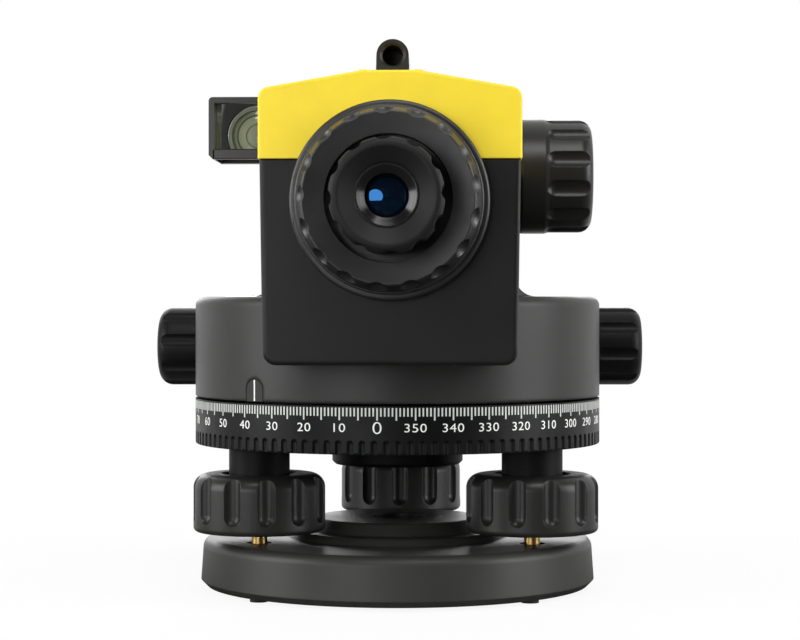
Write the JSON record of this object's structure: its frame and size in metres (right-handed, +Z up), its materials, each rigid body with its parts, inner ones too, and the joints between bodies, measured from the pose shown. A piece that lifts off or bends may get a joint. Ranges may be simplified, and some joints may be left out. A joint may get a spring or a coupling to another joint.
{
  "type": "optical level",
  "caption": "Automatic optical level: telescope box with yellow cover on a graduated circle, endless tangent drive, foot screws and tripod base.",
  "frame": {"origin": "middle of the footprint, on the surface that the three pads stand on", "axes": "+Z up, +Y along the line of sight from the eyepiece to the objective, +X to the observer's right"},
  "size_m": [0.1246, 0.19, 0.1301],
  "materials": {
    "dark_casting": "satin black paint on cast aluminium",
    "yellow_cover": "semi-gloss yellow",
    "dark_metal": "black anodised",
    "knob_plastic": "satin black",
    "gloss_black": "gloss black",
    "brass": "turned",
    "steel": "turned",
    "bare_aluminium": "milled",
    "glass": "polished",
    "mirror": "polished"
  },
  "bodies": {
    "base": {"base_plate": "dark_casting", "tripod_bush": "dark_metal", "spring_plate": "steel", "spring_plate_screws": "steel", "foot_pads": "dark_metal"},
    "rear_pin": {"foot_pin_rear": "brass"},
    "head": {"levelling_head": "dark_casting", "foot_nuts": "brass", "axis_bush": "brass", "clutch_spring": "steel", "clutch_nut": "steel", "circle_retainer": "bare_aluminium"},
    "foot_left": {"foot_pin_left": "brass", "foot_knob_left": "knob_plastic"},
    "foot_right": {"foot_pin_right": "brass", "foot_knob_right": "knob_plastic"},
    "foot_rear": {"foot_knob_rear": "knob_plastic"},
    "circle": {"horizontal_circle": "dark_metal"},
    "tangent_wheel": {"worm_wheel": "brass"},
    "alidade": {"main_housing": "dark_casting", "drive_bushes": "brass", "index_plate": "dark_metal", "floor_plate": "dark_casting", "floor_screws": "steel", "spindle": "steel", "spindle_screws": "steel", "thrust_washer": "brass", "spindle_end_screw": "steel", "top_cover": "yellow_cover", "cover_screws": "steel", "peep_sight": "dark_metal", "eyepiece_flange": "dark_metal", "eyepiece_cover": "dark_metal", "reticle_holder": "brass", "reticle_glass": "glass", "objective_barrel": "dark_metal", "objective_lens": "glass", "objective_retainer": "dark_metal", "focus_bush": "brass", "focus_guide": "bare_aluminium", "compensator_frame": "bare_aluminium", "suspension_strips": "steel", "fixed_prisms": "glass", "vial_holder": "dark_metal", "level_vial": "glass", "bubble_hood": "gloss_black", "bubble_mirror": "mirror"},
    "drive": {"drive_worm": "steel", "drive_shaft": "steel", "drive_knob_left": "knob_plastic", "drive_knob_right": "knob_plastic"},
    "focus_drive": {"focus_shaft": "steel", "focus_knob": "knob_plastic"},
    "focus_carriage": {"focus_cell": "brass", "focus_lens": "glass"},
    "eyepiece_tube": {"eyepiece_barrel": "dark_metal", "eye_lens": "glass"},
    "eyepiece_ring": {"eyepiece_knob": "knob_plastic"},
    "pendulum": {"pendulum_carrier": "bare_aluminium", "pendulum_prism": "glass"}
  },
  "joints": [
    {"name": "tilt_side", "type": "hinge", "parent": "base", "child": "rear_pin", "pos_m": [0, 0.0378, 0.0301], "axis": [0, 1, 0], "range_deg": [-2, 2]},
    {"name": "tilt_fore", "type": "hinge", "parent": "rear_pin", "child": "head", "pos_m": [0, -0.0189, 0.0301], "axis": [1, 0, 0], "range_deg": [-2, 2]},
    {"name": "foot_left_turn", "type": "hinge", "parent": "base", "child": "foot_left", "pos_m": [-0.03274, -0.0189, 0.0301], "axis": [0, 0, 1], "range_deg": [-413.4, 413.4]},
    {"name": "foot_right_turn", "type": "hinge", "parent": "base", "child": "foot_right", "pos_m": [0.03274, -0.0189, 0.0301], "axis": [0, 0, 1], "range_deg": [-413.4, 413.4]},
    {"name": "foot_rear_turn", "type": "hinge", "parent": "rear_pin", "child": "foot_rear", "pos_m": [0, 0.0378, 0.0301], "axis": [0, 0, 1], "range_deg": [-714.5, 714.5]},
    {"name": "circle_turn", "type": "hinge", "parent": "head", "child": "circle", "pos_m": [0, 0, 0.0428], "axis": [0, 0, 1], "continuous": true},
    {"name": "clutch_slip", "type": "hinge", "parent": "head", "child": "tangent_wheel", "pos_m": [0, 0, 0.0588], "axis": [0, 0, 1], "continuous": true},
    {"name": "fine_turn", "type": "hinge", "parent": "tangent_wheel", "child": "alidade", "pos_m": [0, 0, 0.0588], "axis": [0, 0, 1], "continuous": true},
    {"name": "drive_turn", "type": "hinge", "parent": "alidade", "child": "drive", "pos_m": [0, 0.024, 0.0588], "axis": [1, 0, 0], "continuous": true},
    {"name": "focus_turn", "type": "hinge", "parent": "alidade", "child": "focus_drive", "pos_m": [0.03, 0.005, 0.10165], "axis": [1, 0, 0], "range_deg": [-182, 182]},
    {"name": "focus_slide", "type": "slide", "parent": "alidade", "child": "focus_carriage", "axis": [0, 1, 0], "range_m": [-0.0094, 0.0094]},
    {"name": "eyepiece_turn", "type": "hinge", "parent": "eyepiece_tube", "child": "eyepiece_ring", "pos_m": [0, -0.087, 0.09225], "axis": [0, 1, 0], "range_deg": [-182, 182]},
    {"name": "eyepiece_slide", "type": "slide", "parent": "alidade", "child": "eyepiece_tube", "axis": [0, 1, 0], "range_m": [-0.0015, 0.0015]},
    {"name": "pendulum_swing", "type": "hinge", "parent": "alidade", "child": "pendulum", "pos_m": [0, -0.0375, 0.10265], "axis": [1, 0, 0], "range_deg": [-0.3, 0.3]}
  ],
  "couplings": [
    {"joint": "foot_left_turn", "follows": "tilt_side", "ratio": -205.68},
    {"joint": "foot_right_turn", "follows": "tilt_side", "ratio": 205.68},
    {"joint": "foot_rear_turn", "follows": "tilt_fore", "ratio": -356.26},
    {"joint": "drive_turn", "follows": "fine_turn", "ratio": -52},
    {"joint": "focus_turn", "follows": "focus_slide", "rad_per_m": 333.33},
    {"joint": "eyepiece_turn", "follows": "eyepiece_slide", "rad_per_m": 2094.4}
  ]
}
